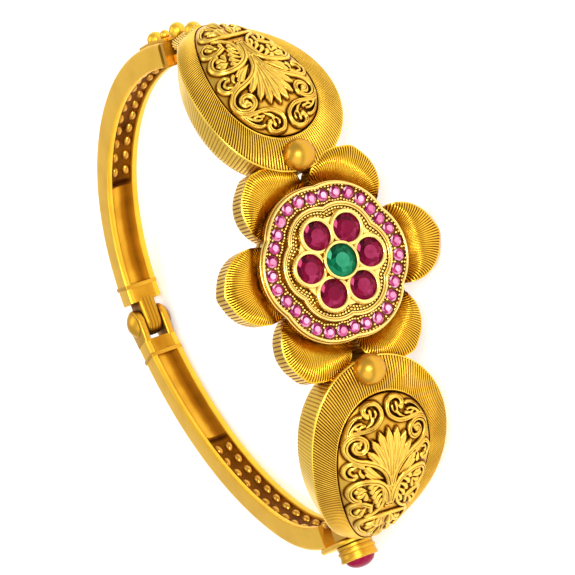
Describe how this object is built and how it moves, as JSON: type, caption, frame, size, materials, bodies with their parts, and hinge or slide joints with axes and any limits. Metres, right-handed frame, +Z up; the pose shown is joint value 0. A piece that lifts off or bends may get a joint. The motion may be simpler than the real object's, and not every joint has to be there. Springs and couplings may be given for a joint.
{
  "type": "openable temple bangle",
  "caption": "Openable hinged bangle with a stone-set flower between two ribbed leaf panels with scrollwork, channel-shaped rear arms and a screw clasp.",
  "frame": {"origin": "middle of the outer box at the surface that the bangle lies on", "axes": "+Z up from that surface, within 15 degrees of the wrist's axis; +X towards the front with the flower; +Y towards the upper leaf and the fixed joint, along the bangle's longest extent"},
  "size_m": [0.0636, 0.0736, 0.0308],
  "materials": {
    "gold": "matt antique gold plating on brass, darker in the recesses",
    "ruby": "faceted deep pinkish red stone",
    "emerald": "faceted deep green stone",
    "pink_stone": "small faceted pink stones"
  },
  "bodies": {
    "front": {"front_band": "gold", "upper_leaf": "gold", "lower_leaf": "gold", "upper_plaque": "gold", "lower_plaque": "gold", "petal_1": "gold", "petal_2": "gold", "petal_3": "gold", "petal_4": "gold", "petal_5": "gold", "petal_6": "gold", "flower_disc": "gold", "emerald": "emerald", "ruby_1": "ruby", "ruby_2": "ruby", "ruby_3": "ruby", "ruby_4": "ruby", "ruby_5": "ruby", "ruby_6": "ruby", "pink_stones": "pink_stone", "upper_ball": "gold", "lower_ball": "gold", "joint_lug": "gold", "upper_arm": "gold", "hinge_pin": "gold"},
    "lower_arm": {"lower_arm": "gold"},
    "screw": {"clasp_screw": "gold", "clasp_ruby": "ruby"}
  },
  "joints": [
    {"name": "rear_hinge", "type": "hinge", "parent": "front", "child": "lower_arm", "pos_m": [-0.02916, 0.00184, 0.00307], "axis": [0.2096, 0.1192, -0.9705], "range_deg": [0, 60]},
    {"name": "screw_travel", "type": "slide", "parent": "lower_arm", "child": "screw", "axis": [0.1192, -0.9883, -0.0956], "range_m": [0, 0.003]}
  ]
}
